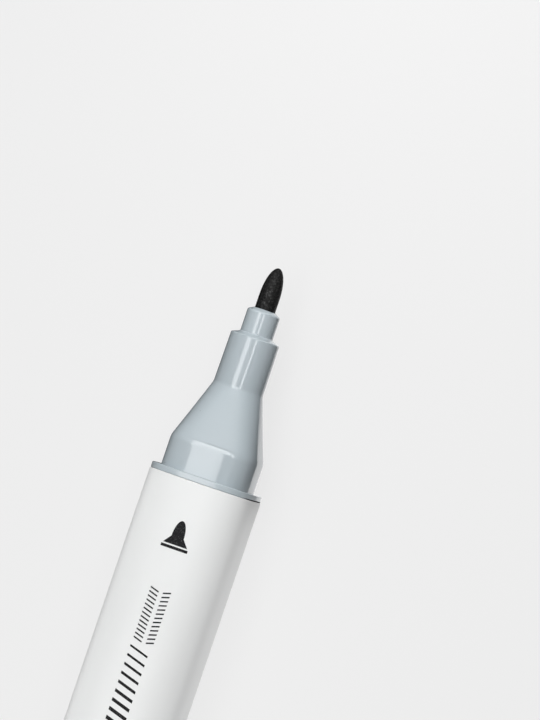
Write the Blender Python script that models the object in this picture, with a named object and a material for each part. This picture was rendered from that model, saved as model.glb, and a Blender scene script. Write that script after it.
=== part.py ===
"""Double-ended sketch marker with its rear cap on and its front cap off.

The marker lies on one side of its crowned square barrel, along X, with the bullet nib at +X.
The origin is under the middle of its length, on the surface that it lies on.
"""

import math

import bmesh
import bpy

MM = 0.001

# Barrel: a tube whose section is a square with bulging sides and soft corners
BARREL_WIDTH = 14.6 * MM
BARREL_LENGTH = 84.0 * MM
BARREL_WALL = 1.1 * MM
CROWN = 3.5  # 2 gives a circle, and higher values come nearer to a true square
ROUND = 2.0

# Fits
PUSH_FIT = 0.15 * MM  # room all round a piece that is pushed into another
NIB_FIT = 0.1 * MM  # room all round a nib in its bore
SEAM = 0.15 * MM  # line of shadow between two faces that meet
EDGE = 0.12 * MM  # break on the moulded edges

# What both end sections have
SPIGOT_LENGTH = 9.0 * MM
SPIGOT_WALL = 1.0 * MM
SPIGOT_LEAD = 0.6 * MM
FLANGE_INSET = 0.075 * MM
FLANGE_THICKNESS = 0.7 * MM
SHOULDER_LENGTH = 4.1 * MM
SECTION_WALL = 2.0 * MM
SNOUT_DRAFT = 0.075 * MM
DOME_RISE = 0.42 * MM
DOME_EDGE = 0.18 * MM

# Front section and its bullet nib
BULLET_DIAMETER = 2.7 * MM
BULLET_EXPOSED = 5.8 * MM
BULLET_TIP_LENGTH = 4.0 * MM
BULLET_TIP_FLAT = 0.3 * MM
FRONT_COLLAR_WALL = 0.8 * MM
FRONT_COLLAR_LENGTH = 3.15 * MM
FRONT_SNOUT_STEP = 1.1 * MM
FRONT_SNOUT_LENGTH = 7.0 * MM
FRONT_CONE_LENGTH = 8.5 * MM

# Rear section and its chisel nib
REAR_COLLAR_WALL = 0.9 * MM
REAR_COLLAR_LENGTH = 3.0 * MM
REAR_SNOUT_STEP = 0.9 * MM
REAR_SNOUT_LENGTH = 6.0 * MM
REAR_CONE_LENGTH = 6.0 * MM
CHISEL_THICKNESS = 3.2 * MM
CHISEL_EXPOSED = 8.5 * MM
CHISEL_WEDGE = 5.5 * MM  # length over which it thins towards its edge
CHISEL_EDGE = 0.9 * MM  # thickness that is left at the edge
CHISEL_SLANT = 2.6 * MM  # how far one corner of the edge stands back
CHISEL_CROWN = 5.0
CHISEL_TAIL_DIAMETER = 3.4 * MM

# Ink
FILM_WALL = 0.25 * MM
NIB_BITE = 6.0 * MM  # how deep each nib's tail goes into the reservoir
TAIL_TAPER = 0.5 * MM

# Rear cap
CAP_WALL = 1.05 * MM
SEAL_GAP = 0.75 * MM  # free space between the seal's wall and the cap's wall
SEAL_WALL = 0.7 * MM
SEAL_FLOOR = 1.0 * MM
SEAL_SETBACK = 1.5 * MM  # from the foot of the snout to the seal's lip
TIP_ROOM = 5.0 * MM  # free space past the nib inside the cap
CAP_END_WALL = 1.4 * MM
CAP_END_EDGE = 0.5 * MM
PLUG_RIM = 0.9 * MM
PLUG_RECESS = 0.8 * MM
PLUG_THICKNESS = 1.1 * MM
PLUG_EDGE = 0.4 * MM
PLUG_STEM_DIAMETER = 5.2 * MM

# Facets
SIDES = 48
NIB_SIDES = 32
ARC_STEPS = 3
CONE_STEPS = 6
TIP_STEPS = 9
SMOOTH_BELOW = math.radians(30)

# Half widths and radii, from the outside in
barrel_half = BARREL_WIDTH / 2
barrel_bore = barrel_half - BARREL_WALL
spigot_half = barrel_bore - PUSH_FIT
socket_radius = spigot_half - SPIGOT_WALL
film_radius = socket_radius - PUSH_FIT
film_bore = film_radius - FILM_WALL
reservoir_radius = film_bore - PUSH_FIT
flange_half = barrel_half - FLANGE_INSET
cap_bore = barrel_half - CAP_WALL
shoulder_half = cap_bore - PUSH_FIT
cavity_radius = shoulder_half - SECTION_WALL
seal_radius = cap_bore - SEAL_GAP
seal_bore = seal_radius - SEAL_WALL
rear_snout_foot = seal_bore - PUSH_FIT
rear_snout_radius = rear_snout_foot - SNOUT_DRAFT
rear_collar_radius = rear_snout_radius - REAR_SNOUT_STEP
chisel_half = rear_collar_radius - REAR_COLLAR_WALL - NIB_FIT
chisel_half_thickness = CHISEL_THICKNESS / 2
tail_radius = CHISEL_TAIL_DIAMETER / 2
bullet_radius = BULLET_DIAMETER / 2
front_collar_radius = bullet_radius + NIB_FIT + FRONT_COLLAR_WALL
front_snout_radius = front_collar_radius + FRONT_SNOUT_STEP

# Places along the axis, outwards from the end of the barrel
flange_face = SEAM + FLANGE_THICKNESS
shoulder_end = flange_face + SHOULDER_LENGTH
front_cone_end = shoulder_end + FRONT_CONE_LENGTH
front_snout_end = front_cone_end + FRONT_SNOUT_LENGTH
front_collar_foot = front_snout_end + DOME_RISE
front_collar_end = front_collar_foot + FRONT_COLLAR_LENGTH
front_mouth = front_collar_end + DOME_RISE
bullet_tip = front_mouth + BULLET_EXPOSED
rear_cone_end = shoulder_end + REAR_CONE_LENGTH
rear_snout_end = rear_cone_end + REAR_SNOUT_LENGTH
rear_collar_foot = rear_snout_end + DOME_RISE
rear_collar_end = rear_collar_foot + REAR_COLLAR_LENGTH
rear_mouth = rear_collar_end + DOME_RISE
chisel_tip = rear_mouth + CHISEL_EXPOSED
reservoir_end = flange_face - SEAM
tail_end = reservoir_end - NIB_BITE
cap_mouth = flange_face + SEAM
seal_lip = rear_cone_end + SEAL_SETBACK
seal_inside = chisel_tip + TIP_ROOM
seal_base = seal_inside + SEAL_FLOOR
cap_inside = seal_base + SEAM
recess_floor = cap_inside + CAP_END_WALL
cap_end = recess_floor + PLUG_RECESS
plug_seat = recess_floor + SEAM
plug_face = plug_seat + PLUG_THICKNESS


def square(x, half):
    return x, half, half, CROWN


def circle(x, radius):
    return x, radius, radius, ROUND


def slot(x, room=0.0):
    return x, chisel_half + room, chisel_half_thickness + room, CHISEL_CROWN


def section_points(station, sides):
    """Points of one cross-section, with a flat strip square to Y and to Z that lies at its half width."""
    x, half_y, half_z, crown = station
    power = 2 / crown
    flat = math.cos(math.pi / sides) ** power
    points = []
    for step in range(sides):
        angle = math.tau * (step + 0.5) / sides
        across = math.cos(angle)
        up = math.sin(angle)
        y = half_y / flat * math.copysign(abs(across) ** power, across)
        z = half_z / flat * math.copysign(abs(up) ** power, up)
        points.append((x, y, z))
    return points


def edge_round(x_end, half, radius, section):
    """Sections round the outer edge of an end face, from the wall to the face."""
    stations = []
    for step in range(ARC_STEPS + 1):
        angle = math.pi / 2 * step / ARC_STEPS
        x = x_end - radius * (1 - math.sin(angle))
        stations.append(section(x, half - radius * (1 - math.cos(angle))))
    return stations


def square_to_round(x_from, half, x_to, radius):
    """Sections of a cone that starts as a crowned square and ends as a circle."""
    stations = []
    for step in range(CONE_STEPS + 1):
        part = step / CONE_STEPS
        x = x_from + (x_to - x_from) * part
        width = half + (radius - half) * part
        stations.append((x, width, width, CROWN + (ROUND - CROWN) * part))
    return stations


def finish(name, colour, roughness):
    material = bpy.data.materials.new(name)
    material.use_nodes = True
    shader = material.node_tree.nodes["Principled BSDF"]
    shader.inputs["Base Color"].default_value = (*colour, 1.0)
    shader.inputs["Roughness"].default_value = roughness
    shader.inputs["Metallic"].default_value = 0.0
    material.diffuse_color = (*colour, 1.0)
    return material


def loft(stations, sides=SIDES, ring=False):
    """A skin through the sections. A ring joins its last section to its first, and other shapes have closed ends."""
    shape = bmesh.new()
    loops = []
    for station in stations:
        loops.append([shape.verts.new(point) for point in section_points(station, sides)])
    pairs = list(zip(loops, loops[1:]))
    if ring:
        pairs.append((loops[-1], loops[0]))
    else:
        shape.faces.new(loops[0])
        shape.faces.new(loops[-1])
    for near, far in pairs:
        for here in range(sides):
            after = (here + 1) % sides
            shape.faces.new((near[here], near[after], far[after], far[here]))
    bmesh.ops.recalc_face_normals(shape, faces=shape.faces)
    return shape


def cut_away(shape, point, normal):
    """Takes off what lies past a plane and closes the cut with a face."""
    everything = shape.verts[:] + shape.edges[:] + shape.faces[:]
    cut = bmesh.ops.bisect_plane(
        shape, geom=everything, dist=1e-8, plane_co=point, plane_no=normal, clear_outer=True
    )
    rim = [item for item in cut["geom_cut"] if isinstance(item, bmesh.types.BMEdge)]
    bmesh.ops.contextual_create(shape, geom=rim)
    bmesh.ops.recalc_face_normals(shape, faces=shape.faces)


def place(name, shape, material, parent):
    mesh = bpy.data.meshes.new(name)
    shape.to_mesh(mesh)
    shape.free()
    mesh.materials.append(material)
    mesh.shade_smooth()
    mesh.set_sharp_from_angle(angle=SMOOTH_BELOW)
    piece = bpy.data.objects.new(name, mesh)
    bpy.context.scene.collection.objects.link(piece)
    piece.parent = parent
    return piece


def frame_point(name, location, parent=None, turn=0.0):
    point = bpy.data.objects.new(name, None)
    bpy.context.scene.collection.objects.link(point)
    point.location = location
    point.rotation_euler = (0.0, 0.0, turn)
    point.parent = parent
    return point


def barrel_shape():
    outside = barrel_half
    end = BARREL_LENGTH / 2
    return loft(
        [
            square(-end, outside - EDGE),
            square(-end + EDGE, outside),
            square(end - EDGE, outside),
            square(end, outside - EDGE),
            square(end, barrel_bore),
            square(-end, barrel_bore),
        ],
        ring=True,
    )


def section_body(cone_end, snout_foot, snout_end, snout_radius):
    """The outside that both end sections share: spigot, flange, shoulder, cone and snout."""
    stations = [
        square(-SPIGOT_LENGTH, spigot_half - SPIGOT_LEAD / 2),
        square(-SPIGOT_LENGTH + SPIGOT_LEAD, spigot_half),
        square(SEAM, spigot_half),
        square(SEAM, flange_half - EDGE),
        square(SEAM + EDGE, flange_half),
        square(flange_face - EDGE, flange_half),
        square(flange_face, flange_half - EDGE),
        square(flange_face, shoulder_half),
    ]
    stations += square_to_round(shoulder_end, shoulder_half, cone_end, snout_foot)
    stations += edge_round(snout_end, snout_radius, DOME_EDGE, circle)
    return stations


def socket_stations():
    """The inside of a section behind its nib bore, down to the open end of the spigot."""
    return [
        circle(shoulder_end, cavity_radius),
        circle(flange_face, cavity_radius),
        circle(flange_face, socket_radius),
        circle(-SPIGOT_LENGTH, socket_radius),
    ]


def front_section_shape():
    snout_foot = front_snout_radius + SNOUT_DRAFT
    bore = bullet_radius + NIB_FIT
    stations = section_body(front_cone_end, snout_foot, front_snout_end, front_snout_radius)
    stations.append(circle(front_collar_foot, front_collar_radius))
    stations += edge_round(front_collar_end, front_collar_radius, DOME_EDGE, circle)
    stations.append(circle(front_mouth, bore))
    stations.append(circle(front_cone_end, bore))
    stations += socket_stations()
    return loft(stations, ring=True)


def rear_section_shape():
    stations = section_body(rear_cone_end, rear_snout_foot, rear_snout_end, rear_snout_radius)
    stations.append(circle(rear_collar_foot, rear_collar_radius))
    stations += edge_round(rear_collar_end, rear_collar_radius, DOME_EDGE, circle)
    stations.append(slot(rear_mouth, NIB_FIT))
    stations.append(slot(rear_cone_end, NIB_FIT))
    stations += socket_stations()
    return loft(stations, ring=True)


def bullet_nib_shape():
    tip_start = bullet_tip - BULLET_TIP_LENGTH
    stations = [
        circle(tail_end, bullet_radius - TAIL_TAPER),
        circle(tail_end + TAIL_TAPER, bullet_radius),
    ]
    for step in range(TIP_STEPS):
        angle = math.pi / 2 * step / TIP_STEPS
        x = tip_start + BULLET_TIP_LENGTH * math.sin(angle)
        stations.append(circle(x, bullet_radius * math.cos(angle)))
    stations.append(circle(bullet_tip, BULLET_TIP_FLAT / 2))
    return loft(stations, sides=NIB_SIDES)


def chisel_nib_shape():
    shape = loft(
        [
            circle(tail_end, tail_radius - TAIL_TAPER),
            circle(tail_end + TAIL_TAPER, tail_radius),
            circle(shoulder_end, tail_radius),
            slot(rear_cone_end),
            slot(chisel_tip),
        ],
        sides=NIB_SIDES,
    )
    thinned = chisel_half_thickness - CHISEL_EDGE / 2
    for side in (1, -1):
        edge = (chisel_tip, 0.0, side * CHISEL_EDGE / 2)
        cut_away(shape, edge, (thinned, 0.0, side * CHISEL_WEDGE))
    corner = (chisel_tip, chisel_half, 0.0)
    cut_away(shape, corner, (2 * chisel_half, -CHISEL_SLANT, 0.0))
    return shape


def ink_reservoir_shape():
    front_bore = bullet_radius + PUSH_FIT
    rear_bore = tail_radius + PUSH_FIT
    end = BARREL_LENGTH / 2 + reservoir_end
    bore_floor = BARREL_LENGTH / 2 + tail_end - SEAM
    return loft(
        [
            circle(bore_floor, front_bore),
            circle(end, front_bore),
            circle(end, reservoir_radius),
            circle(-end, reservoir_radius),
            circle(-end, rear_bore),
            circle(-bore_floor, rear_bore),
        ]
    )


def reservoir_film_shape():
    end = BARREL_LENGTH / 2 + reservoir_end
    return loft(
        [
            circle(-end, film_radius),
            circle(end, film_radius),
            circle(end, film_bore),
            circle(-end, film_bore),
        ],
        ring=True,
    )


def rear_cap_shape():
    stem_hole = PLUG_STEM_DIAMETER / 2 + PUSH_FIT
    recess = barrel_half - PLUG_RIM
    stations = [
        square(cap_mouth, barrel_half - EDGE),
        square(cap_mouth + EDGE, barrel_half),
    ]
    stations += edge_round(cap_end, barrel_half, CAP_END_EDGE, square)
    stations += [
        square(cap_end, recess),
        square(recess_floor, recess),
        circle(recess_floor, stem_hole),
        circle(cap_inside, stem_hole),
        square(cap_inside, cap_bore),
        square(cap_mouth, cap_bore),
    ]
    return loft(stations, ring=True)


def rear_cap_seal_shape():
    base_half = cap_bore - PUSH_FIT
    return loft(
        [
            circle(seal_inside, seal_bore),
            circle(seal_lip, seal_bore),
            circle(seal_lip, seal_radius - EDGE),
            circle(seal_lip + EDGE, seal_radius),
            circle(seal_inside, seal_radius),
            square(seal_inside, base_half),
            square(seal_base, base_half),
        ]
    )


def rear_cap_plug_shape():
    half = barrel_half - PLUG_RIM - PUSH_FIT
    stem_radius = PLUG_STEM_DIAMETER / 2
    stations = [
        circle(cap_inside, stem_radius),
        circle(plug_seat, stem_radius),
        square(plug_seat, half),
    ]
    stations += edge_round(plug_face, half, PLUG_EDGE, square)
    return loft(stations)


def build():
    white = finish("white_plastic", (0.85, 0.86, 0.865), 0.35)
    cap_white = finish("cap_white_plastic", (0.85, 0.86, 0.865), 0.35)
    front_grey = finish("front_grey_plastic", (0.5, 0.57, 0.6), 0.2)
    rear_grey = finish("rear_grey_plastic", (0.5, 0.57, 0.6), 0.2)
    bullet_felt = finish("bullet_felt", (0.015, 0.015, 0.015), 0.75)
    chisel_felt = finish("chisel_felt", (0.015, 0.015, 0.015), 0.75)
    inked_fibre = finish("inked_fibre", (0.03, 0.03, 0.032), 0.9)
    clear_film = finish("film", (0.75, 0.76, 0.76), 0.25)
    soft_plastic = finish("soft_plastic", (0.72, 0.74, 0.74), 0.45)
    ink_black = finish("ink_black_plastic", (0.02, 0.02, 0.021), 0.3)

    middle = (plug_face - bullet_tip) / 2
    marker = frame_point("marker", (middle, 0.0, barrel_half))
    front_end = frame_point("front_end", (BARREL_LENGTH / 2, 0.0, 0.0), marker)
    rear_end = frame_point("rear_end", (-BARREL_LENGTH / 2, 0.0, 0.0), marker, math.pi)
    cap_slide = frame_point("cap_slide", (0.0, 0.0, 0.0), rear_end)

    place("barrel", barrel_shape(), white, marker)
    place("ink_reservoir", ink_reservoir_shape(), inked_fibre, marker)
    place("reservoir_film", reservoir_film_shape(), clear_film, marker)
    place("front_section", front_section_shape(), front_grey, front_end)
    place("bullet_nib", bullet_nib_shape(), bullet_felt, front_end)
    place("rear_section", rear_section_shape(), rear_grey, rear_end)
    place("chisel_nib", chisel_nib_shape(), chisel_felt, rear_end)
    place("rear_cap", rear_cap_shape(), cap_white, cap_slide)
    place("rear_cap_seal", rear_cap_seal_shape(), soft_plastic, cap_slide)
    place("rear_cap_plug", rear_cap_plug_shape(), ink_black, cap_slide)


for leftover in list(bpy.data.objects):
    bpy.data.objects.remove(leftover)
build()
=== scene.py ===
# %% [markdown]
# # A sketch marker, dressed
# This file dresses the solid parts of a double-ended sketch marker. The parts come in as a fixed
# frame. Each part that can be seen then gets a finer body, shaped by the same rings that a modeller
# would draw out by hand, and every part gets a finish made of nodes.
# The marker lies along X with its bullet nib at +X, so most shapes are rings drawn along X.

# %% Load the frame
import math

import bmesh
import bpy
from mathutils import Matrix, Vector


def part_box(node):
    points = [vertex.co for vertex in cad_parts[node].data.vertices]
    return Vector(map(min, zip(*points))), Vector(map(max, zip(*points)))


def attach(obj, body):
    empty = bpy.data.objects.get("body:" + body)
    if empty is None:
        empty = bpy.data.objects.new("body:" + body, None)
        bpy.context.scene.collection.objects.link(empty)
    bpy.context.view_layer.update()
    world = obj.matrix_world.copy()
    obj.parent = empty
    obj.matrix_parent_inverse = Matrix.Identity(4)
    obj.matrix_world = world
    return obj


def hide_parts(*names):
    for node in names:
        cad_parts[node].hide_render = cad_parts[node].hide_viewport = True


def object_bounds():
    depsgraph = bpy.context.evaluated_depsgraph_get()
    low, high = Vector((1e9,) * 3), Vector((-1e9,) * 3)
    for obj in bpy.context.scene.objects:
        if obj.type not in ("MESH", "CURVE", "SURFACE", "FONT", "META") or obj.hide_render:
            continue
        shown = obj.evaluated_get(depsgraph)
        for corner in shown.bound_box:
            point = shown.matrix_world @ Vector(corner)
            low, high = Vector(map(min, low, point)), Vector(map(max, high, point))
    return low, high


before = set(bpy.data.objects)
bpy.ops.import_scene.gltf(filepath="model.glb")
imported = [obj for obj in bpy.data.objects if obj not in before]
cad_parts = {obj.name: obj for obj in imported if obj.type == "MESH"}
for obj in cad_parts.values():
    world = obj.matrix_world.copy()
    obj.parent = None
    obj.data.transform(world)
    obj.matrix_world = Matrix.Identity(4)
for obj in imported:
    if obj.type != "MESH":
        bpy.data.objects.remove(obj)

MM = 0.001
cad_low, cad_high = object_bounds()
barrel_low, barrel_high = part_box("barrel")
AXIS_Z = (barrel_low.z + barrel_high.z) / 2
BARREL_HALF = (barrel_high.y - barrel_low.y) / 2
FRONT_END = barrel_high.x
REAR_END = barrel_low.x
print("frame loaded, overall length", round((cad_high.x - cad_low.x) / MM, 2), "mm")

# %% [markdown]
# ## Rings on one axis
# Every moulded part of the marker is a stack of cross-sections on one axis: a crowned square for the
# barrel and the shoulder, a circle for the snout, a flat slot for the broad nib. One formula gives
# them all: its exponent is 2 for a circle and grows as the outline comes nearer to a square.
# A ring is added as a circle, and each point keeps its turn round the axis as an attribute, so that
# every ring extruded from it can be given its own outline.
# Plain smooth shading would tilt the light on a wide face that has a narrow bevel beside it, and a
# polished face would then mirror the wrong part of the room. A weighted normal modifier lets the
# widest face decide. It weighs areas, which are too small for it in square metres, so the mesh is
# counted in millimetres while it works.

# %% Ring formula
CROWN = 3.5
ROUND = 2.0


def square(x, half):
    return x, half, half, CROWN


def circle(x, radius):
    return x, radius, radius, ROUND


def ring_point(station, turn):
    x, half_y, half_z, crown = station
    across = math.cos(turn)
    up = math.sin(turn)
    y = half_y * math.copysign(abs(across) ** (2 / crown), across)
    z = half_z * math.copysign(abs(up) ** (2 / crown), up)
    return Vector((x, y, AXIS_Z + z))


print("the barrel's section has the exponent", CROWN, "and a circle has", ROUND)

# %% One ring
SAME_PLACE = 1e-6


def select_nothing():
    if bpy.context.mode != "OBJECT":
        bpy.ops.object.mode_set(mode="OBJECT")
    bpy.ops.object.select_all(action="DESELECT")


def first_ring(name, station, sides):
    select_nothing()
    bpy.ops.mesh.primitive_circle_add(vertices=sides, radius=MM)
    piece = bpy.context.object
    piece.name = name
    piece.data.name = name
    bpy.ops.object.mode_set(mode="EDIT")
    bpy.ops.mesh.select_mode(type="EDGE")
    shape = bmesh.from_edit_mesh(piece.data)
    turn = shape.verts.layers.float.new("turn")
    for corner in shape.verts:
        corner[turn] = math.atan2(corner.co.y, corner.co.x)
    bpy.ops.mesh.select_all(action="SELECT")
    shape_ring(piece, station)
    return piece


def shape_ring(piece, station):
    """Gives the selected ring its place on the axis and its outline."""
    shape = bmesh.from_edit_mesh(piece.data)
    turn = shape.verts.layers.float["turn"]
    for corner in shape.verts:
        if corner.select:
            corner.co = ring_point(station, corner[turn])
    bmesh.update_edit_mesh(piece.data)


def select_ring(piece, station):
    bpy.ops.mesh.select_all(action="DESELECT")
    shape = bmesh.from_edit_mesh(piece.data)
    turn = shape.verts.layers.float["turn"]
    here = set()
    for corner in shape.verts:
        if (corner.co - ring_point(station, corner[turn])).length < SAME_PLACE:
            here.add(corner)
    for edge in shape.edges:
        edge.select_set(set(edge.verts) <= here)
    bmesh.update_edit_mesh(piece.data)


print("two points are the same place within", SAME_PLACE / MM, "mm")

# %% A whole piece
FINE_SIDES = 160
SHARP_ANGLE = math.radians(32)


def draw_out(name, stations, sides=FINE_SIDES, ends="faces"):
    """Extrudes a ring through all its stations.

    Both ends get faces, or the last one comes to a point, or the last joins the first in a loop.
    """
    piece = first_ring(name, stations[0], sides)
    for station in stations[1:]:
        bpy.ops.mesh.extrude_region_move()
        shape_ring(piece, station)
    if ends == "loop":
        bpy.ops.mesh.extrude_region_move()
        shape_ring(piece, stations[0])
        bpy.ops.mesh.select_all(action="SELECT")
        bpy.ops.mesh.remove_doubles(threshold=SAME_PLACE)
        return piece
    if ends == "point":
        bpy.ops.mesh.merge(type="CENTER")
    else:
        bpy.ops.mesh.edge_face_add()
    select_ring(piece, stations[0])
    bpy.ops.mesh.edge_face_add()
    return piece


def soften(piece, station, width, steps=4):
    """Rounds the edge that runs round the piece at one ring."""
    select_ring(piece, station)
    bpy.ops.mesh.bevel(offset=width, segments=steps, affect="EDGES")


def complete(piece, body, slot, *nodes):
    """Faces outwards, smooth shading that keeps large faces true, and a place on its body."""
    bpy.ops.mesh.select_all(action="SELECT")
    bpy.ops.mesh.normals_make_consistent(inside=False)
    bpy.ops.object.mode_set(mode="OBJECT")
    bpy.ops.object.shade_smooth_by_angle(angle=SHARP_ANGLE)
    piece.data.transform(Matrix.Scale(1 / MM, 4))
    weighted = piece.modifiers.new("true_faces", "WEIGHTED_NORMAL")
    weighted.keep_sharp = True
    bpy.ops.object.modifier_apply(modifier=weighted.name)
    piece.data.transform(Matrix.Scale(MM, 4))
    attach(piece, body)
    if nodes:
        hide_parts(*nodes)
    places = [corner.co.x for corner in piece.data.vertices]
    length = round((max(places) - min(places)) / MM, 2)
    print(piece.name, "has", len(piece.data.polygons), "faces,", length, "mm long")


def paint(piece, material):
    piece.data.materials.clear()
    piece.data.materials.append(material)


print("a fine ring has", FINE_SIDES, "points")

# %% [markdown]
# ## Barrel
# The barrel is a white tube with bulging sides and soft corners. It could be a cube with a
# subdivision surface, but then its corners would only be roughly right. A ring drawn down the
# outside and back up the inside gives the tube its true wall, and a small bevel at each end
# catches a line of light, as a moulded edge does.

# %% Barrel body
BARREL_WALL = 1.1 * MM
BARREL_BORE = BARREL_HALF - BARREL_WALL
BARREL_EDGE = 0.15 * MM

barrel_rings = [
    square(REAR_END, BARREL_HALF),
    square(FRONT_END, BARREL_HALF),
    square(FRONT_END, BARREL_BORE),
    square(REAR_END, BARREL_BORE),
]
barrel = draw_out("barrel_tube", barrel_rings, ends="loop")
for ring in barrel_rings[:2]:
    soften(barrel, ring, BARREL_EDGE)
complete(barrel, "marker", "barrel", "barrel")

# %% [markdown]
# ## End sections
# Both ends of the marker have the same kind of moulding: a plug in the barrel, a thin flange, a
# square shoulder that the cap grips, a cone that turns from square to round, a snout and a collar
# round the nib. The cone is drawn in small steps, because each ring has to be a little rounder than
# the last. All crisp edges are bevelled afterwards, ring by ring.
# The rear section is the same list of rings, mirrored, so one function draws both.

# %% Section sizes
PUSH_FIT = 0.15 * MM
SPIGOT_LENGTH = 9.0 * MM
SPIGOT_WALL = 1.0 * MM
SPIGOT_HALF = BARREL_BORE - PUSH_FIT
SOCKET_RADIUS = SPIGOT_HALF - SPIGOT_WALL
FLANGE_BACK = 0.02 * MM
FLANGE_FACE = 0.85 * MM
FLANGE_INSET = 0.075 * MM
FLANGE_HALF = BARREL_HALF - FLANGE_INSET
CAP_WALL = 1.05 * MM
CAP_BORE = BARREL_HALF - CAP_WALL
SHOULDER_LENGTH = 4.1 * MM
SHOULDER_HALF = CAP_BORE - PUSH_FIT
SHOULDER_END = FLANGE_FACE + SHOULDER_LENGTH
SECTION_WALL = 2.0 * MM
CAVITY_RADIUS = SHOULDER_HALF - SECTION_WALL
SNOUT_DRAFT = 0.075 * MM
DOME_RISE = 0.42 * MM
print("the shoulder is", round(2 * SHOULDER_HALF / MM, 2), "mm wide")

# %% Section rings
CONE_STEPS = 24


def turned(stations, end, way):
    """Places rings that are counted outwards from the end of the barrel."""
    return [(end + way * x, half_y, half_z, crown) for x, half_y, half_z, crown in stations]


def cone_rings(x_from, half, x_to, radius):
    rings = []
    for step in range(CONE_STEPS + 1):
        part = step / CONE_STEPS
        width = half + (radius - half) * part
        crown = CROWN + (ROUND - CROWN) * part
        rings.append((x_from + (x_to - x_from) * part, width, width, crown))
    return rings


def draw_section(name, end, way, cone_end, snout_end, snout_radius, collar_end, collar_radius, bore):
    """Draws one end section and rounds its edges."""
    spigot_end = square(-SPIGOT_LENGTH, SPIGOT_HALF)
    flange_back = square(FLANGE_BACK, FLANGE_HALF)
    flange_front = square(FLANGE_FACE, FLANGE_HALF)
    cone = cone_rings(SHOULDER_END, SHOULDER_HALF, cone_end, snout_radius + SNOUT_DRAFT)
    snout_edge = circle(snout_end, snout_radius)
    collar_foot = circle(snout_end + DOME_RISE, collar_radius)
    collar_edge = circle(collar_end, collar_radius)
    mouth = bore(collar_end + DOME_RISE)
    outside = [
        spigot_end,
        square(FLANGE_BACK, SPIGOT_HALF),
        flange_back,
        flange_front,
        square(FLANGE_FACE, SHOULDER_HALF),
        *cone,
        snout_edge,
        collar_foot,
        collar_edge,
    ]
    inside = [
        mouth,
        bore(cone_end),
        circle(SHOULDER_END, CAVITY_RADIUS),
        circle(FLANGE_FACE, CAVITY_RADIUS),
        circle(FLANGE_FACE, SOCKET_RADIUS),
        circle(-SPIGOT_LENGTH, SOCKET_RADIUS),
    ]
    section = draw_out(name, turned(outside + inside, end, way), ends="loop")
    # Each ring with the width of its bevel and the bevel's steps
    rounded = [
        (spigot_end, 0.3 * MM, 2),
        (flange_back, 0.1 * MM, 3),
        (flange_front, 0.15 * MM, 4),
        (cone[0], 0.42 * MM, 6),
        (cone[-1], 0.24 * MM, 6),
        (snout_edge, 0.16 * MM, 5),
        (collar_foot, 0.16 * MM, 4),
        (collar_edge, 0.2 * MM, 5),
        (mouth, 0.08 * MM, 3),
    ]
    for ring, width, steps in rounded:
        soften(section, turned([ring], end, way)[0], width, steps)
    return section


print("a section's cone is drawn in", CONE_STEPS, "steps")

# %% Front section
nib_low, nib_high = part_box("bullet_nib")
front_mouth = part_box("front_section")[1].x
NIB_FIT = 0.1 * MM
BULLET_RADIUS = (nib_high.y - nib_low.y) / 2
FRONT_COLLAR_WALL = 0.8 * MM
FRONT_SNOUT_STEP = 1.1 * MM
FRONT_CONE_LENGTH = 8.5 * MM
FRONT_SNOUT_LENGTH = 7.0 * MM
FRONT_COLLAR_RADIUS = BULLET_RADIUS + NIB_FIT + FRONT_COLLAR_WALL
FRONT_SNOUT_RADIUS = FRONT_COLLAR_RADIUS + FRONT_SNOUT_STEP
FRONT_CONE_END = SHOULDER_END + FRONT_CONE_LENGTH
FRONT_SNOUT_END = FRONT_CONE_END + FRONT_SNOUT_LENGTH
FRONT_COLLAR_END = front_mouth - FRONT_END - DOME_RISE


def bullet_bore(x):
    return circle(x, BULLET_RADIUS + NIB_FIT)


front_section = draw_section(
    "front_nose", FRONT_END, 1, FRONT_CONE_END, FRONT_SNOUT_END, FRONT_SNOUT_RADIUS,
    FRONT_COLLAR_END, FRONT_COLLAR_RADIUS, bullet_bore,
)
complete(front_section, "marker", "section", "front_section")

# %% Rear section
chisel_low, chisel_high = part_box("chisel_nib")
rear_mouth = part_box("rear_section")[0].x
CHISEL_HALF = (chisel_high.y - chisel_low.y) / 2
CHISEL_HALF_THICKNESS = 1.6 * MM
CHISEL_CROWN = 5.0
REAR_COLLAR_WALL = 0.9 * MM
REAR_SNOUT_STEP = 0.9 * MM
REAR_CONE_LENGTH = 6.0 * MM
REAR_SNOUT_LENGTH = 6.0 * MM
REAR_COLLAR_RADIUS = CHISEL_HALF + NIB_FIT + REAR_COLLAR_WALL
REAR_SNOUT_RADIUS = REAR_COLLAR_RADIUS + REAR_SNOUT_STEP
REAR_CONE_END = SHOULDER_END + REAR_CONE_LENGTH
REAR_SNOUT_END = REAR_CONE_END + REAR_SNOUT_LENGTH
REAR_COLLAR_END = REAR_END - rear_mouth - DOME_RISE


def chisel_slot(x, room=NIB_FIT):
    return x, CHISEL_HALF + room, CHISEL_HALF_THICKNESS + room, CHISEL_CROWN


rear_section = draw_section(
    "rear_nose", REAR_END, -1, REAR_CONE_END, REAR_SNOUT_END, REAR_SNOUT_RADIUS,
    REAR_COLLAR_END, REAR_COLLAR_RADIUS, chisel_slot,
)
complete(rear_section, "marker", "section", "rear_section")

# %% [markdown]
# ## Nibs
# Both nibs are bundles of fibre, pressed and ground to shape. The bullet nib is a rod whose tip is
# half an ellipse, closed to a point. The broad nib is a flat rod: two bisecting planes thin it to a
# wedge and a third cuts its edge aslant, just as the maker grinds it. The bullet nib lies in full
# view, so where it leaves its collar the ink swells it by a hair, and a cloud texture displaces its
# surface by a few hundredths of a millimetre: that is the felt's own roughness.

# %% Felt helper


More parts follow.
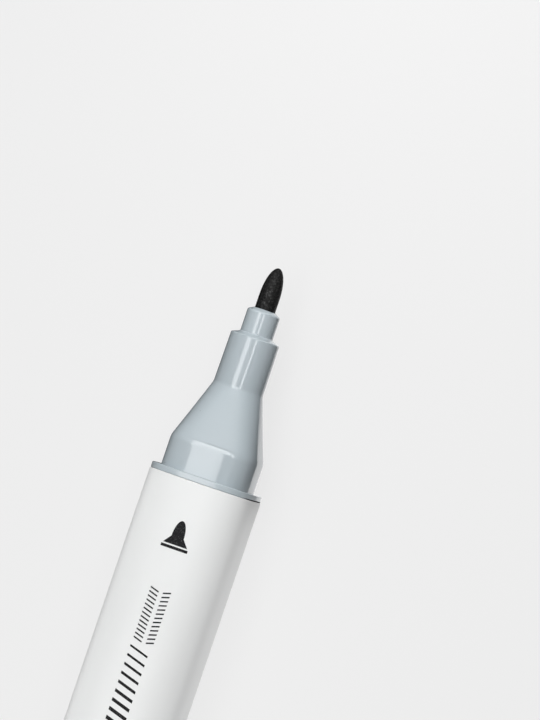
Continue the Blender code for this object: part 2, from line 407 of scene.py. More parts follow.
def roughen(piece, grain, relief):
    """Displaces the surface by a cloud pattern with the given grain and height."""
    bpy.ops.object.mode_set(mode="OBJECT")
    cloud = bpy.data.textures.new(piece.name + "_cloud", "CLOUDS")
    cloud.noise_scale = grain
    cloud.noise_depth = 1
    displace = piece.modifiers.new("felt", "DISPLACE")
    displace.texture = cloud
    displace.texture_coords = "LOCAL"
    displace.mid_level = 0.5
    displace.strength = relief
    bpy.ops.object.modifier_apply(modifier=displace.name)
    bpy.ops.object.mode_set(mode="EDIT")


print("felt helper ready")

# %% Bullet nib
FELT_SIDES = 128
TAIL_TAPER = 0.5 * MM
TIP_LENGTH = 4.0 * MM
TIP_STEPS = 56
TIP_BLUNT = 0.4
ROD_STEPS = 24
FELT_GRAIN = 0.16 * MM
FELT_RELIEF = 0.028 * MM
FELT_SWELL = 0.05 * MM
SWELL_START = 0.5 * MM

swollen = BULLET_RADIUS + FELT_SWELL
rod_start = front_mouth - SWELL_START
tip_start = nib_high.x - TIP_LENGTH
bullet_rings = [
    circle(nib_low.x, BULLET_RADIUS - TAIL_TAPER),
    circle(nib_low.x + TAIL_TAPER, BULLET_RADIUS),
]
for step in range(ROD_STEPS + 1):
    bullet_rings.append(circle(rod_start + (tip_start - rod_start) * step / ROD_STEPS, swollen))
for step in range(1, TIP_STEPS + 1):
    angle = math.pi / 2 * step / (TIP_STEPS + TIP_BLUNT)
    bullet_rings.append(circle(tip_start + TIP_LENGTH * math.sin(angle), swollen * math.cos(angle)))
bullet = draw_out("bullet_felt", bullet_rings, sides=FELT_SIDES, ends="point")
roughen(bullet, FELT_GRAIN, FELT_RELIEF)
complete(bullet, "marker", "nib", "bullet_nib")

# %% Chisel nib
CHISEL_SIDES = 96
CHISEL_WEDGE = 5.5 * MM
CHISEL_EDGE = 0.9 * MM
CHISEL_SLANT = 2.6 * MM
TAIL_RADIUS = 1.7 * MM

chisel_tip = REAR_END - chisel_low.x
chisel_tail = REAR_END - chisel_high.x
chisel_rings = [
    circle(chisel_tail, TAIL_RADIUS - TAIL_TAPER),
    circle(chisel_tail + TAIL_TAPER, TAIL_RADIUS),
    circle(SHOULDER_END, TAIL_RADIUS),
    chisel_slot(REAR_CONE_END, 0.0),
    chisel_slot(chisel_tip, 0.0),
]
chisel = draw_out("chisel_felt", turned(chisel_rings, REAR_END, -1), sides=CHISEL_SIDES)


def grind(point, outward):
    """Takes off all that lies past a plane and closes the cut with a face."""
    bpy.ops.mesh.select_all(action="SELECT")
    bpy.ops.mesh.bisect(
        plane_co=point, plane_no=Vector(outward).normalized(),
        use_fill=True, clear_outer=True, threshold=SAME_PLACE,
    )


thinned = CHISEL_HALF_THICKNESS - CHISEL_EDGE / 2
for side in (1, -1):
    grind((chisel_low.x, 0.0, AXIS_Z + side * CHISEL_EDGE / 2), (-thinned, 0.0, side * CHISEL_WEDGE))
grind((chisel_low.x, -CHISEL_HALF, AXIS_Z), (-2 * CHISEL_HALF, CHISEL_SLANT, 0.0))
complete(chisel, "marker", "nib", "chisel_nib")

# %% [markdown]
# ## Rear cap
# The cap is a white shell, flush with the barrel, with a soft cup inside that seals on the snout and
# a plug in its end that shows the colour of the ink. The shell is drawn as one loop of rings: down
# the outside, round the end, through the plug's hole and back up the inside.

# %% Cap shell
cap_low, cap_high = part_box("rear_cap")
CAP_MOUTH = cap_high.x
CAP_END = cap_low.x
CAP_END_WALL = 1.4 * MM
CAP_END_EDGE = 0.5 * MM
CAP_LIP_EDGE = 0.2 * MM
PLUG_RECESS = 0.8 * MM
PLUG_RIM = 0.9 * MM
PLUG_RIM_EDGE = 0.1 * MM
RECESS_FLOOR = CAP_END + PLUG_RECESS
RECESS_HALF = BARREL_HALF - PLUG_RIM
CAP_INSIDE = RECESS_FLOOR + CAP_END_WALL
STEM_RADIUS = 2.6 * MM
STEM_HOLE = STEM_RADIUS + PUSH_FIT

cap_front = square(CAP_MOUTH, BARREL_HALF)
cap_corner = square(CAP_END, BARREL_HALF)
plug_rim = square(CAP_END, RECESS_HALF)
cap_lip = square(CAP_MOUTH, CAP_BORE)
cap_rings = [
    cap_front,
    cap_corner,
    plug_rim,
    square(RECESS_FLOOR, RECESS_HALF),
    circle(RECESS_FLOOR, STEM_HOLE),
    circle(CAP_INSIDE, STEM_HOLE),
    square(CAP_INSIDE, CAP_BORE),
    cap_lip,
]
cap = draw_out("rear_cap_shell", cap_rings, ends="loop")
soften(cap, cap_front, BARREL_EDGE)
soften(cap, cap_corner, CAP_END_EDGE, 6)
soften(cap, plug_rim, PLUG_RIM_EDGE, 3)
soften(cap, cap_lip, CAP_LIP_EDGE, 3)
complete(cap, "rear_cap", "cap", "rear_cap")

# %% Inner cup
seal_low, seal_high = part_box("rear_cap_seal")
SEAL_GAP = 0.75 * MM
SEAL_WALL = 0.7 * MM
SEAL_FLOOR = 1.0 * MM
SEAL_INNER_EDGE = 0.2 * MM
SEAL_OUTER_EDGE = 0.15 * MM
SEAL_RADIUS = CAP_BORE - SEAL_GAP
SEAL_BORE = SEAL_RADIUS - SEAL_WALL
SEAL_INSIDE = seal_low.x + SEAL_FLOOR
SEAL_BASE_HALF = CAP_BORE - PUSH_FIT

inner_lip = circle(seal_high.x, SEAL_BORE)
outer_lip = circle(seal_high.x, SEAL_RADIUS)
seal_rings = [
    circle(SEAL_INSIDE, SEAL_BORE),
    inner_lip,
    outer_lip,
    circle(SEAL_INSIDE, SEAL_RADIUS),
    square(SEAL_INSIDE, SEAL_BASE_HALF),
    square(seal_low.x, SEAL_BASE_HALF),
]
seal = draw_out("rear_cap_inner_cup", seal_rings)
soften(seal, inner_lip, SEAL_INNER_EDGE, 3)
soften(seal, outer_lip, SEAL_OUTER_EDGE, 3)
complete(seal, "rear_cap", "seal", "rear_cap_seal")

# %% End plug
plug_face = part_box("rear_cap_plug")[0].x
PLUG_EDGE = 0.4 * MM
PLUG_SEAT = RECESS_FLOOR - PUSH_FIT
PLUG_HALF = RECESS_HALF - PUSH_FIT

plug_corner = square(plug_face, PLUG_HALF)
plug_rings = [
    circle(CAP_INSIDE, STEM_RADIUS),
    circle(PLUG_SEAT, STEM_RADIUS),
    square(PLUG_SEAT, PLUG_HALF),
    plug_corner,
]
plug = draw_out("rear_cap_end_plug", plug_rings)
soften(plug, plug_corner, PLUG_EDGE, 6)
complete(plug, "rear_cap", "plug", "rear_cap_plug")

# %% [markdown]
# ## Print
# The upper face of the barrel is printed: a small picture of the bullet nib on a bar tells which nib
# is at this end, and rows of hatching show the strokes that it draws. Every mark is a plane that is
# shaped in edit mode and laid on the crowned face by the formula of its section. A solidify modifier
# then gives it the thickness of a coat of ink.

# %% Ribbons
PRINT_MIDDLE = -0.245 * MM


def place_pair(corners, pair):
    for corner, (x, y) in zip(corners, pair):
        corner.co = (x, y, 0.0)


def picked(shape):
    return [corner for corner in shape.verts if corner.select]


def add_ribbon(piece, pairs):
    """Adds a plane and draws it out through pairs of points, each pair from the left to the right."""
    bpy.ops.mesh.select_all(action="DESELECT")
    bpy.ops.mesh.primitive_plane_add(size=MM)
    shape = bmesh.from_edit_mesh(piece.data)
    corners = picked(shape)
    place_pair(corners[:2], pairs[0])
    place_pair(corners[2:], pairs[1])
    for pair in pairs[2:]:
        last = picked(shape)[-2:]
        bpy.ops.mesh.select_all(action="DESELECT")
        for corner in last:
            corner.select_set(True)
        shape.select_flush(True)
        bpy.ops.mesh.extrude_region_move()
        place_pair(sorted(picked(shape), key=lambda corner: -corner.co.y), pair)
    bmesh.update_edit_mesh(piece.data)


def row_pair(behind, half):
    """A pair of points across the print, a distance behind the barrel's front end."""
    x = FRONT_END - behind
    return (x, PRINT_MIDDLE + half), (x, PRINT_MIDDLE - half)


print("the print's middle is", round(PRINT_MIDDLE / MM, 3), "mm off the barrel's")

# %% Coat of ink
INK_RAISE = 0.02 * MM
INK_DEPTH = 0.04 * MM
BAND_WIDTH = 0.4 * MM
BANDS = 5


def lay_on_barrel(piece):
    """Cuts a flat drawing into narrow bands and lays it on the barrel's upper face."""
    for band in range(-BANDS, BANDS + 1):
        bpy.ops.mesh.select_all(action="SELECT")
        bpy.ops.mesh.bisect(
            plane_co=(0.0, band * BAND_WIDTH, 0.0), plane_no=(0.0, 1.0, 0.0), threshold=SAME_PLACE,
        )
    shape = bmesh.from_edit_mesh(piece.data)
    for corner in shape.verts:
        part = abs(corner.co.y) / BARREL_HALF
        corner.co.z = AXIS_Z + BARREL_HALF * (1 - part ** CROWN) ** (1 / CROWN) + INK_RAISE
    bmesh.update_edit_mesh(piece.data)


def print_marks(name, ribbons):
    """Prints a set of ribbons as one piece."""
    select_nothing()
    bpy.ops.mesh.primitive_plane_add(size=MM)
    piece = bpy.context.object
    piece.name = name
    piece.data.name = name
    bpy.ops.object.mode_set(mode="EDIT")
    bpy.ops.mesh.delete(type="VERT")
    for pairs in ribbons:
        add_ribbon(piece, pairs)
    lay_on_barrel(piece)
    bpy.ops.object.mode_set(mode="OBJECT")
    coat = piece.modifiers.new("coat", "SOLIDIFY")
    coat.thickness = INK_DEPTH
    coat.offset = -1.0
    bpy.ops.object.modifier_apply(modifier=coat.name)
    bpy.ops.object.mode_set(mode="EDIT")
    complete(piece, "marker", "plug")
    return piece


print("a coat of ink stands", round(INK_RAISE / MM, 3), "mm proud")

# %% Nib picture
PICTURE_TIP = 5.33 * MM
PICTURE_TIP_LENGTH = 2.25 * MM
PICTURE_BLUNT = 0.3
FLARE_LENGTH = 1.05 * MM
PICTURE_FOOT = PICTURE_TIP + PICTURE_TIP_LENGTH + FLARE_LENGTH
BAR_START = 8.84 * MM
BAR_END = 9.23 * MM
TIP_HALF = 0.86 * MM
FOOT_HALF = 1.7 * MM
BAR_HALF = 1.87 * MM
CURVE_STEPS = 12

bar = [row_pair(BAR_END, BAR_HALF), row_pair(BAR_START, BAR_HALF)]
nib_outline = []
for step in range(CURVE_STEPS + 1):
    part = step / CURVE_STEPS
    half = FOOT_HALF - (FOOT_HALF - TIP_HALF) * part
    nib_outline.append(row_pair(PICTURE_FOOT - FLARE_LENGTH * part, half))
for step in range(CURVE_STEPS + 1):
    angle = math.pi / 2 * step / (CURVE_STEPS + PICTURE_BLUNT)
    reach = PICTURE_TIP + PICTURE_TIP_LENGTH * (1 - math.sin(angle))
    nib_outline.append(row_pair(reach, TIP_HALF * math.cos(angle)))
nib_picture = print_marks("nib_picture", [bar, nib_outline])

# %% Hatching
SLANT = 0.3
BOLD_HALF = 1.35 * MM
BOLD_START = 23.3 * MM
BOLD_LENGTH = 21.0 * MM
BOLD_STROKES = 18
BOLD_THINNEST = 0.28 * MM
BOLD_GROWTH = 0.5 * MM
FINE_MIDDLE = 18.4 * MM
FINE_LENGTH = 6.9 * MM
FINE_STROKES = 13
FINE_WIDTH = 0.2 * MM
# The middle of each fine row, half its height and its slant
FINE_ROWS = [(0.43 * MM, 0.62 * MM, SLANT), (-1.3 * MM, 0.52 * MM, -SLANT)]


def stroke(behind, middle_y, half, width, slant):
    """One stroke across the print. A positive slant leans its left end towards the front."""
    x = FRONT_END - behind
    lean = slant * half
    rear = ((x - width / 2 + lean, middle_y + half), (x - width / 2 - lean, middle_y - half))
    front = ((x + width / 2 + lean, middle_y + half), (x + width / 2 - lean, middle_y - half))
    return [rear, front]


bold = []
for step in range(BOLD_STROKES):
    part = step / (BOLD_STROKES - 1)
    width = BOLD_THINNEST + BOLD_GROWTH * part
    bold.append(stroke(BOLD_START + BOLD_LENGTH * part, PRINT_MIDDLE, BOLD_HALF, width, SLANT))
bold_row = print_marks("bold_hatching", bold)

fine = []
for middle_y, half, slant in FINE_ROWS:
    for step in range(FINE_STROKES):
        behind = FINE_MIDDLE + FINE_LENGTH * (step / (FINE_STROKES - 1) - 0.5)
        fine.append(stroke(behind, middle_y, half, FINE_WIDTH, slant))
fine_rows = print_marks("fine_hatching", fine)

# %% [markdown]
# ## Finishes
# Each finish is a small network of nodes round one Principled shader. Patterns read Object
# coordinates, which are metres here, so a noise scale of 1000 gives features about a millimetre
# across. Numbers that are the same all over a surface are set on the shader itself.
# The same few helpers also wire the world and the floor, because those are networks of nodes too.

# %% Node helpers


def add_node(owner, kind, **settings):
    node = owner.node_tree.nodes.new(kind)
    for name, value in settings.items():
        setattr(node, name, value)
    return node


def feed(node, socket, term):
    """Sets a node's socket to a number, or links another node's socket to it."""
    if isinstance(term, (int, float)):
        node.inputs[socket].default_value = term
    else:
        node.id_data.links.new(term, node.inputs[socket])


def new_finish(name, roughness, specular=0.5):
    material = bpy.data.materials.new(name)
    material.use_nodes = True
    shader = material.node_tree.nodes["Principled BSDF"]
    feed(shader, "Roughness", roughness)
    feed(shader, "Specular IOR Level", specular)
    return material, shader


print("node helpers ready")

# %% Pattern helpers
NOISE_LOW = 0.3
NOISE_HIGH = 0.7


def own_place(material):
    """A point's place in the piece's own metres."""
    return add_node(material, "ShaderNodeTexCoord").outputs["Object"]


def noise(material, scale, detail=2.0, stretch=(1.0, 1.0, 1.0)):
    """Noise in the piece's own metres. A stretch under 1 draws the pattern out along that axis."""
    mapping = add_node(material, "ShaderNodeMapping")
    mapping.inputs["Scale"].default_value = stretch
    feed(mapping, "Vector", own_place(material))
    pattern = add_node(material, "ShaderNodeTexNoise")
    feed(pattern, "Scale", scale)
    feed(pattern, "Detail", detail)
    feed(pattern, "Vector", mapping.outputs["Vector"])
    return pattern.outputs["Fac"]


def ramp(material, value, stops):
    """A colour ramp through (position, colour) stops."""
    node = add_node(material, "ShaderNodeValToRGB")
    points = node.color_ramp.elements
    while len(points) < len(stops):
        points.new(0.5)
    for point, (position, colour) in zip(points, stops):
        point.position = position
        point.color = (*colour, 1.0)
    feed(node, "Fac", value)
    return node.outputs["Color"]


def drift(material, pattern, first, last):
    """A colour that drifts from one to another with the noise."""
    return ramp(material, pattern, [(NOISE_LOW, first), (NOISE_HIGH, last)])


def slope(owner, value, start, end, first, last):
    """A level that goes from the first to the last while the value goes from the start to the end."""
    node = add_node(owner, "ShaderNodeMapRange")
    feed(node, "From Min", start)
    feed(node, "From Max", end)
    feed(node, "To Min", first)
    feed(node, "To Max", last)
    feed(node, "Value", value)
    return node.outputs["Result"]


def spread(material, pattern, low, high):
    """Maps noise, which runs from about 0.3 to 0.7, to a range."""
    return slope(material, pattern, NOISE_LOW, NOISE_HIGH, low, high)


def bump(material, height, depth, strength=1.0, under=None):
    """Bump of a real depth in metres, over another bump if one is given."""
    node = add_node(material, "ShaderNodeBump")
    feed(node, "Strength", strength)
    feed(node, "Distance", depth)
    feed(node, "Height", height)
    if under is not None:
        feed(node, "Normal", under)
    return node.outputs["Normal"]


print("noise is taken to run from", NOISE_LOW, "to", NOISE_HIGH)

# %% [markdown]
# ### White plastic
# The barrel and the cap are satin white. Light that enters such plastic comes out again all round, so
# its shading is flatter than paint's. Subsurface scattering would do that, but a thin wall loses much
# of its light, so a high diffuse roughness is used instead.
# Up close it has a fine eroded texture from its mould and hardly visible flow marks, so the roughness
# drifts a little and a very shallow bump breaks up the highlight.

# %% White plastic


def white_plastic(name):
    material, shader = new_finish(name, 0.36)
    feed(shader, "Diffuse Roughness", 0.6)
    flow = noise(material, 140, 2.0, (0.35, 1.0, 1.0))
    feed(shader, "Base Color", drift(material, flow, (0.78, 0.788, 0.785), (0.8, 0.807, 0.804)))
    grain = noise(material, 9000, 3.0)
    feed(shader, "Roughness", spread(material, grain, 0.32, 0.42))
    wave = bump(material, flow, 0.02 * MM, 0.4)
    feed(shader, "Normal", bump(material, grain, 0.003 * MM, 0.35, wave))
    return material


paint(barrel, white_plastic("barrel_white_plastic"))
paint(cap, white_plastic("cap_white_plastic"))
print("white plastic on", barrel.name, "and", cap.name)

# %% [markdown]
# ### Blue-grey plastic
# The sections are polished, so they mirror the lights as sharp shapes. No moulded surface is quite
# true, though: a slow bump bends the edges of those reflections, and smears change the gloss a
# little. Here and there sits a speck of dried ink, from the cells of a Voronoi texture: a cell's
# middle is a dot wherever it happens to lie in the surface.
# On one side the front flange stands a hair's breadth off the barrel, and that gap lies in shade. A real
# gap that thin would leave a pale notch in the outline, so the front finish paints the shade in instead,
# as a dark line without gloss: painted shadow.

# %% Specks
SPECK_SPACING = 2.2 * MM
SPECK_RADIUS = 0.07 * MM
SPECK_CORE = 0.6


def grey(level):
    return level, level, level


def darken(material, colour, shade):
    """One colour multiplied by another."""
    node = add_node(material, "ShaderNodeMix", data_type="RGBA", blend_type="MULTIPLY")
    feed(node, "Factor", 1.0)
    feed(node, "A", colour)
    feed(node, "B", shade)
    return node.outputs["Result"]


def specked(material, colour):
    """Darkens a colour in a few small round specks of ink."""
    cells = add_node(material, "ShaderNodeTexVoronoi")
    feed(cells, "Scale", 1 / SPECK_SPACING)
    feed(cells, "Vector", own_place(material))
    edge = SPECK_RADIUS / SPECK_SPACING
    shade = ramp(material, cells.outputs["Distance"], [(SPECK_CORE * edge, grey(0.2)), (edge, grey(1.0))])
    return darken(material, colour, shade)


print("specks lie about", round(SPECK_SPACING / MM, 1), "mm apart")

# %% Painted joint shadow
# Width of the painted shadow line, and where across Y it starts and is full
JOINT_SHADOW_WIDTH = 0.16 * MM
JOINT_SHADOW_START = 6.3 * MM
JOINT_SHADOW_FULL = 6.9 * MM


def own_axes(material):
    """The place along X and the place along Y, in the piece's own metres."""
    axes = add_node(material, "ShaderNodeSeparateXYZ")
    feed(axes, "Vector", own_place(material))
    return axes.outputs["X"], axes.outputs["Y"]


def calculate(owner, operation, *terms):
    """A sum, a product or a comparison. Each term is a socket or a number."""
    node = add_node(owner, "ShaderNodeMath", operation=operation)
    for place, term in enumerate(terms):
        feed(node, place, term)
    return node.outputs["Value"]


def paint_joint_shadow(material, shader):
    """Paints shadow into the line on one side where the flange stands off the barrel, and takes its gloss
    away.
    """
    x, y = own_axes(material)
    ahead = calculate(material, "GREATER_THAN", x, FRONT_END + JOINT_SHADOW_WIDTH)
    aside = slope(material, y, -JOINT_SHADOW_FULL, -JOINT_SHADOW_START, 0.0, 1.0)
    clear = calculate(material, "MAXIMUM", ahead, aside)
    colour = shader.inputs["Base Color"].links[0].from_socket
    # Painted shadow: the colour falls to 8 percent along the gap on the shaded side
    shade = ramp(material, clear, [(0.0, grey(0.08)), (1.0, grey(1.0))])
    feed(shader, "Base Color", darken(material, colour, shade))
    specular = shader.inputs["Specular IOR Level"].default_value
    feed(shader, "Specular IOR Level", calculate(material, "MULTIPLY", clear, specular))


print("the joint line is", round(JOINT_SHADOW_WIDTH / MM, 2), "mm wide")

# %% Blue-grey plastic


def grey_plastic(name):
    material, shader = new_finish(name, 0.1, 0.65)
    cloud = noise(material, 90, 2.0)
    tint = drift(material, cloud, (0.408, 0.462, 0.492), (0.428, 0.482, 0.512))
    feed(shader, "Base Color", specked(material, tint))
    smear = noise(material, 700, 4.0, (0.3, 1.0, 1.0))
    feed(shader, "Roughness", spread(material, smear, 0.07, 0.14))
    sink = noise(material, 260, 1.0, (0.6, 1.0, 1.0))
    feed(shader, "Normal", bump(material, sink, 0.06 * MM))
    return material, shader


front_grey, front_shader = grey_plastic("front_grey_plastic")
# The front nose gets the painted shadow line at its flange
paint_joint_shadow(front_grey, front_shader)
paint(front_section, front_grey)
paint(rear_section, grey_plastic("rear_grey_plastic")[0])
print("blue-grey plastic on", front_section.name, "and", rear_section.name)

# %% [markdown]
# ### Inked felt
# A nib is thousands of fibres that run along it, bonded with resin and soaked in black ink. Noise
# drawn out along X gives the fibres. A second noise, alike in all directions, gives the pores and the
# small glints of resin that make a black nib sparkle.

# %% Inked felt


def inked_felt(name):
    material, shader = new_finish(name, 0.5)
    fibre = noise(material, 7000, 3.0, (0.15, 1.0, 1.0))
    pore = noise(material, 4200, 3.0)
    tint = ramp(material, pore, [(0.35, grey(0.008)), (0.6, grey(0.013)), (0.72, grey(0.038))])
    feed(shader, "Base Color", tint)
    feed(shader, "Roughness", spread(material, pore, 0.65, 0.35))
    feed(shader, "Specular IOR Level", spread(material, pore, 0.04, 0.31))
    strand = bump(material, fibre, 0.04 * MM, 0.6)
    feed(shader, "Normal", bump(material, pore, 0.03 * MM, 0.5, strand))
    return material


paint(bullet, inked_felt("bullet_inked_felt"))
paint(chisel, inked_felt("chisel_inked_felt"))
print("inked felt on", bullet.name, "and", chisel.name)

# %% [markdown]
# ### Seal, plug, print and what is inside
# The seal is soft natural plastic, a little waxy. The plug is black, in the colour of the ink, with
# a finely eroded face. The print is matt black with pale pinholes, where the coat of ink is thin. The
# reservoir is a bundle of soaked fibre in a thin film: nothing shows it unless the marker is taken
# apart, but it is finished all the same.

# %% Seal and plug


def soft_plastic(name):
    material, shader = new_finish(name, 0.45)
    cloud = noise(material, 220, 2.0)
    feed(shader, "Base Color", drift(material, cloud, (0.69, 0.71, 0.705), (0.75, 0.765, 0.76)))
    feed(shader, "Roughness", spread(material, cloud, 0.38, 0.52))
    return material


def black_plastic(name):
    material, shader = new_finish(name, 0.34)
    grain = noise(material, 7000, 3.0)
    feed(shader, "Base Color", drift(material, grain, (0.014, 0.014, 0.015), (0.024, 0.024, 0.025)))
    feed(shader, "Roughness", spread(material, grain, 0.3, 0.42))
    feed(shader, "Normal", bump(material, grain, 0.006 * MM, 0.5))
    return material


paint(seal, soft_plastic("seal_soft_plastic"))
paint(plug, black_plastic("plug_black_plastic"))
print("soft plastic on", seal.name, "and black plastic on", plug.name)

# %% Reservoir and film


def soaked_fibre(name):
    material, shader = new_finish(name, 0.85, 0.3)
    fibre = noise(material, 5000, 3.0, (0.06, 1.0, 1.0))
    feed(shader, "Base Color", drift(material, fibre, (0.015, 0.015, 0.016), (0.055, 0.055, 0.058)))
    feed(shader, "Normal", bump(material, fibre, 0.08 * MM, 0.7))
    return material


def clear_film(name):
    material, shader = new_finish(name, 0.22)
    crease = noise(material, 500, 3.0, (0.2, 1.0, 1.0))
    feed(shader, "Base Color", drift(material, crease, (0.7, 0.71, 0.71), (0.78, 0.79, 0.79)))
    feed(shader, "Normal", bump(material, crease, 0.05 * MM, 0.5))
    return material


paint(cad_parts["ink_reservoir"], soaked_fibre("reservoir_soaked_fibre"))
paint(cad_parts["reservoir_film"], clear_film("reservoir_clear_film"))
print("soaked fibre and film on the ink reservoir")

# %% Printed ink


def printed_ink(name):
    material, shader = new_finish(name, 0.7, 0.1)
    pinhole = noise(material, 9000, 2.0)
    stops = [(0.3, (0.012, 0.012, 0.013)), (0.62, (0.018, 0.018, 0.019)), (0.74, grey(0.16))]
    feed(shader, "Base Color", ramp(material, pinhole, stops))
    return material


ink = printed_ink("barrel_printed_ink")
for mark in (nib_picture, bold_row, fine_rows):
    paint(mark, ink)
print("ink on", nib_picture.name, "and on the hatching")

# %% [markdown]
# ## Camera
# The photograph looks straight down at the marker, rolled so that the nib points up and to the
# right, and turned a few degrees about the marker so that its right side just shows. A long lens
# from most of a metre away keeps the barrel's edges parallel.

# %% Camera
PICTURE_HEIGHT = 95.2 * MM
LENS = 300.0
SENSOR = 36.0
NEAREST = 10.0 * MM
TILT = math.radians(18.8)
TURN = math.radians(11.5)
LEAN = math.radians(-0.5)
AHEAD = 18.4 * MM
ASIDE = 2.75 * MM

back = Vector((math.sin(LEAN), -math.sin(TURN) * math.cos(LEAN), math.cos(TURN) * math.cos(LEAN)))
along = Vector((1.0, 0.0, 0.0))
along_seen = (along - back * along.dot(back)).normalized()
leftwards = back.cross(along_seen)
upwards = along_seen * math.cos(TILT) + leftwards * math.sin(TILT)
rightwards = upwards.cross(back)
middle = Vector((FRONT_END + AHEAD, 0.0, AXIS_Z))
target = middle - leftwards * ASIDE
distance = PICTURE_HEIGHT * LENS / SENSOR
select_nothing()
bpy.ops.object.camera_add()
camera = bpy.context.object
camera.name = "camera"
camera.data.lens = LENS
camera.data.sensor_width = SENSOR
camera.data.clip_start = NEAREST
camera.location = target + back * distance
camera.rotation_euler = Matrix((rightwards, upwards, back)).transposed().to_euler()
bpy.context.scene.camera = camera
bpy.context.scene.view_settings.view_transform = "Standard"
print("camera", round(distance, 3), "m from the marker")

# %% [markdown]
# ## Studio
# The photograph is lit from above through a large soft screen, a little left of the camera and well
# towards the nib, so tones fall off gently to the left and steeply to the right. The world plays that
# screen: its light swells towards one direction and is nearly dark elsewhere, which leaves no edge in
# the reflections.
# Area lights are the bright windows in it. A polished face mirrors only the patch of the room that
# its slope points at, so each window stands where one face looks: the broad window for the wide
# highlight on the shoulder, the nose window for the stripe down the snout and the collar, a side
# window and a strip for the narrower marks to the right of these, and the upper screen for the bright
# line in the rounded creases of the cone. The front and rear screens are small and near, and light
# the nib, the ends of the collar and the barrel. The front screen is kept out of reflections, because
# the white barrel would mirror it as a glare when it is seen from its side.

# %% Directions round the marker


def toward(left_degrees, ahead_degrees=0.0):
    """A direction counted from the camera's: to the left of the picture, then towards the nib."""
    angle = math.radians(left_degrees)
    sideways = back * math.cos(angle) + leftwards * math.sin(angle)
    return (sideways + along_seen * math.tan(math.radians(ahead_degrees))).normalized()


print("lights are aimed at", [round(value / MM, 1) for value in middle], "mm")

# %% World
AMBIENT = 0.02
SCREEN_WAY = toward(15, 38)
SCREEN_PEAK = 1.25
SCREEN_FOCUS = 5.0
PALE = 0.838


def mix_shaders(owner, share, first, second):
    node = add_node(owner, "ShaderNodeMixShader")
    feed(node, "Fac", share)
    feed(node, 1, first)
    feed(node, 2, second)
    return node.outputs["Shader"]


world = bpy.data.worlds.new("studio")
bpy.context.scene.world = world
world.use_nodes = True
direction = add_node(world, "ShaderNodeTexCoord")
facing = add_node(world, "ShaderNodeVectorMath", operation="DOT_PRODUCT")
feed(facing, 0, direction.outputs["Generated"])
facing.inputs[1].default_value = SCREEN_WAY
lit_side = calculate(world, "MAXIMUM", facing.outputs["Value"], 0.0)
swell = calculate(world, "POWER", lit_side, SCREEN_FOCUS)
surround = world.node_tree.nodes["Background"]
surround.inputs["Color"].default_value = (*grey(1.0), 1.0)
feed(surround, "Strength", calculate(world, "MULTIPLY_ADD", swell, SCREEN_PEAK, AMBIENT))
backdrop = add_node(world, "ShaderNodeBackground")
backdrop.inputs["Color"].default_value = (*grey(PALE), 1.0)
seen = add_node(world, "ShaderNodeLightPath").outputs["Is Camera Ray"]
sky = mix_shaders(world, seen, surround.outputs["Background"], backdrop.outputs["Background"])
feed(world.node_tree.nodes["World Output"], "Surface", sky)
print("the screen gives", SCREEN_PEAK, "at its middle and", AMBIENT, "elsewhere")

# %% Windows in the screen


def soft_light(name, way, away, width, height, brightness, mirrored=True):
    """An area light that faces the nose of the marker. Its width lies across the marker."""
    select_nothing()
    bpy.ops.object.light_add(type="AREA")
    lamp = bpy.context.object
    lamp.name = name
    lamp.data.shape = "RECTANGLE"
    lamp.data.size = width
    lamp.data.size_y = height
    lamp.data.energy = brightness * math.pi * width * height
    lamp.location = middle + way * away
    lamp.visible_camera = False
    lamp.visible_glossy = mirrored
    side = along.cross(way).normalized()
    lamp.rotation_euler = Matrix((side, way.cross(side), way)).transposed().to_euler()
    print(name, round(lamp.data.energy, 2), "W at", away, "m")


soft_light("broad_window", toward(25.4, -10.8), 0.61, 0.112, 0.208, 4.1)
soft_light("nose_window", toward(25, 4.3), 0.6, 0.21, 0.11, 4.1)
soft_light("side_window", toward(15.8, -10), 0.25, 0.037, 0.068, 2.8)
soft_light("strip_window", toward(-8.5, 9.1), 0.25, 0.028, 0.1, 5.2)
soft_light("upper_screen", toward(16.5, 18.5), 0.63, 0.36, 0.18, 4.2)
soft_light("front_screen", toward(11, 56), 0.1, 0.055, 0.055, 6.0, mirrored=False)
soft_light("rear_screen", toward(16, -47), 0.147, 0.1, 0.1, 1.15)

# %% [markdown]
# ### Floor
# The floor is plain and pale. What the camera sees of it is mostly an even glow, which keeps the
# background the same all over, with enough real shading left for the marker's soft shadow.
# The light that it sends back to the marker is set apart from that: it is the floor's own glow, painted
# light that stands in for a bounce. Under the rear half it glows as a white card would. Further on it
# dims on the left, as the photograph shows, and under the nose it glows as little as a dim table.
# Reflections also show a glowing white board that ends a little to the right of the marker, a painted
# reflection that only polished faces see: it draws the dark line down the polished nose and the pale rim
# beside it.

# %% Floor plane
FLOOR_SIDE = 6.0

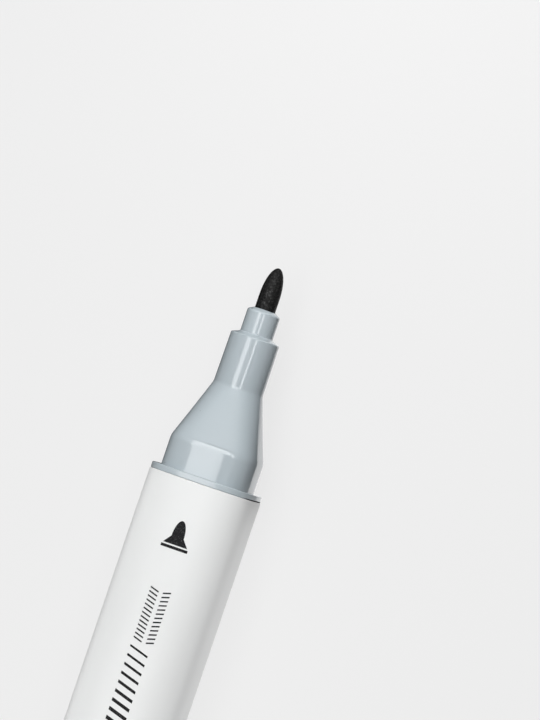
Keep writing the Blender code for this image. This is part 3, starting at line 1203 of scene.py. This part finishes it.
select_nothing()
bpy.ops.mesh.primitive_plane_add(size=FLOOR_SIDE, location=(0.0, 0.0, cad_low.z))
floor = bpy.context.object
floor.name = "floor"
pale = bpy.data.materials.new("floor_pale")
pale.use_nodes = True
pale.node_tree.nodes.remove(pale.node_tree.nodes["Principled BSDF"])
paint(floor, pale)
print("floor", FLOOR_SIDE, "m wide")

# %% Floor light
FLOOR_TONE = 0.95
FLOOR_GLOW = 0.9
CARD_GLOW = 1.15
REAR_GLOW = 0.95
SHADE_GLOW = 0.34
SHADE_START = FRONT_END - 75.0 * MM
SHADE_FULL = FRONT_END - 40.0 * MM
TABLE_GLOW = 0.05
TABLE_START = FRONT_END - 3.5 * MM
TABLE_FULL = FRONT_END + 2.5 * MM
BOARD_GLOW = 1.1
BOARD_EDGE = 8.8 * MM


def glow(strength):
    """Light that the floor gives off by itself."""
    node = add_node(pale, "ShaderNodeEmission")
    feed(node, "Strength", strength)
    return node.outputs["Emission"]


along_floor, over_floor = own_axes(pale)
# The floor's own glow, which lights the marker in place of a bounce: painted light
left_light = slope(pale, along_floor, SHADE_START, SHADE_FULL, REAR_GLOW, SHADE_GLOW)
right_half = calculate(pale, "LESS_THAN", over_floor, 0.0)
right_light = calculate(pale, "MULTIPLY", right_half, CARD_GLOW)
card_light = calculate(pale, "MAXIMUM", left_light, right_light)
painted_bounce = slope(pale, along_floor, TABLE_START, TABLE_FULL, card_light, TABLE_GLOW)
# The board is a glow that only reflections see: a painted reflection
near_board = calculate(pale, "GREATER_THAN", over_floor, -BOARD_EDGE)
on_board = calculate(pale, "MULTIPLY", right_half, near_board)
board_light = calculate(pale, "MULTIPLY", on_board, BOARD_GLOW)
for_mirror = glow(calculate(pale, "MAXIMUM", board_light, painted_bounce))
shaded = add_node(pale, "ShaderNodeBsdfDiffuse")
shaded.inputs["Color"].default_value = (*grey(FLOOR_TONE), 1.0)
for_sight = mix_shaders(pale, FLOOR_GLOW, shaded.outputs["BSDF"], glow(PALE))

path = add_node(pale, "ShaderNodeLightPath")
unseen = mix_shaders(pale, path.outputs["Is Glossy Ray"], glow(painted_bounce), for_mirror)
whole = mix_shaders(pale, path.outputs["Is Camera Ray"], unseen, for_sight)
feed(pale.node_tree.nodes["Material Output"], "Surface", whole)
print("the floor gives back", CARD_GLOW, "under the barrel and", TABLE_GLOW, "under the nose")
